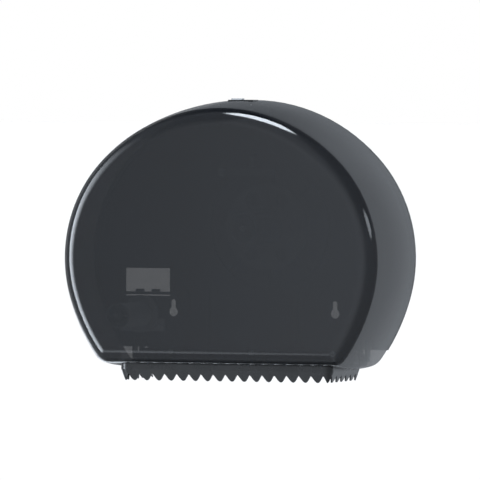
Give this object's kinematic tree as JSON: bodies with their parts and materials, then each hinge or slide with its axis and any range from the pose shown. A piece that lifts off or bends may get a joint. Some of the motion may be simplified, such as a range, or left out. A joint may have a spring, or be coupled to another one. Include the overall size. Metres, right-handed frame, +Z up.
{
  "type": "jumbo toilet roll dispenser",
  "caption": "Wall-mounted jumbo toilet roll dispenser: a smoke cover with a push-button key lock swings down over a roll hub, a stub roll spool and a toothed tear frame.",
  "frame": {"origin": "on the wall plane, midway between the seats of the two keyholes", "axes": "+Z up, +Y into the wall, the front of the cover faces -Y"},
  "size_m": [0.438, 0.133, 0.3558],
  "materials": {
    "smoke_plastic": "gloss",
    "black_plastic": "satin",
    "charcoal_plastic": "satin",
    "grey_plastic": "satin",
    "light_grey_plastic": "satin",
    "rubber": "matte",
    "steel": "brushed"
  },
  "bodies": {
    "case": {"back_plate": "black_plastic", "hinge_pins": "steel", "tear_frame": "charcoal_plastic", "tear_frame_screws": "steel", "hub_axle": "grey_plastic", "hub_axle_screws": "steel", "hub_cap": "black_plastic", "hub_cap_screw": "steel", "brake_pivot_screw": "steel", "brake_spring": "steel", "stub_bracket": "light_grey_plastic", "stub_bracket_screws": "steel", "stub_cap": "black_plastic", "stub_cap_screw": "steel", "lock_keeper": "steel", "keeper_screws": "steel"},
    "cover": {"front_cover": "smoke_plastic", "lock_housing": "charcoal_plastic", "lock_housing_screws": "steel", "lock_base": "charcoal_plastic", "lock_base_screws": "steel", "latch_pin": "steel", "button_spring": "steel", "latch_spring": "steel"},
    "roll_hub": {"core_hub": "grey_plastic", "core_grips": "rubber"},
    "stub_roll_spool": {"stub_spool": "light_grey_plastic"},
    "brake": {"brake_arm": "grey_plastic", "brake_pad": "rubber"},
    "button": {"lock_button": "light_grey_plastic"},
    "key": {"key_barrel": "black_plastic", "key_cam": "steel"},
    "latch": {"latch_arm": "grey_plastic"}
  },
  "joints": [
    {"name": "cover_hinge", "type": "hinge", "parent": "case", "child": "cover", "pos_m": [0, -0.013, -0.0675], "axis": [1, 0, 0], "range_deg": [0, 90]},
    {"name": "hub_spin", "type": "hinge", "parent": "case", "child": "roll_hub", "pos_m": [0.022, -0.05, 0.0965], "axis": [0, -1, 0], "continuous": true},
    {"name": "stub_spin", "type": "hinge", "parent": "case", "child": "stub_roll_spool", "pos_m": [-0.15, -0.05, -0.0155], "axis": [0, -1, 0], "continuous": true},
    {"name": "brake_swing", "type": "hinge", "parent": "case", "child": "brake", "pos_m": [-0.04, -0.0093, 0.1655], "axis": [0, -1, 0], "range_deg": [0, 8], "stiffness_Nm_per_rad": 0.4, "springref_deg": -17.19, "deforming": ["brake_spring"]},
    {"name": "button_press", "type": "slide", "parent": "cover", "child": "button", "axis": [0, 0, -1], "range_m": [0, 0.003], "stiffness_N_per_m": 800, "springref_m": -0.001, "deforming": ["button_spring"]},
    {"name": "key_turn", "type": "hinge", "parent": "cover", "child": "key", "pos_m": [0.01, -0.04, 0.2505], "axis": [0, 0, 1], "range_deg": [0, 90]},
    {"name": "latch_swing", "type": "hinge", "parent": "cover", "child": "latch", "pos_m": [0, -0.064, 0.23858], "axis": [1, 0, 0], "range_deg": [0, 7.5], "deforming": ["latch_spring"]}
  ],
  "couplings": [
    {"joint": "latch_swing", "follows": "key_turn", "ratio": 0.083333}
  ]
}
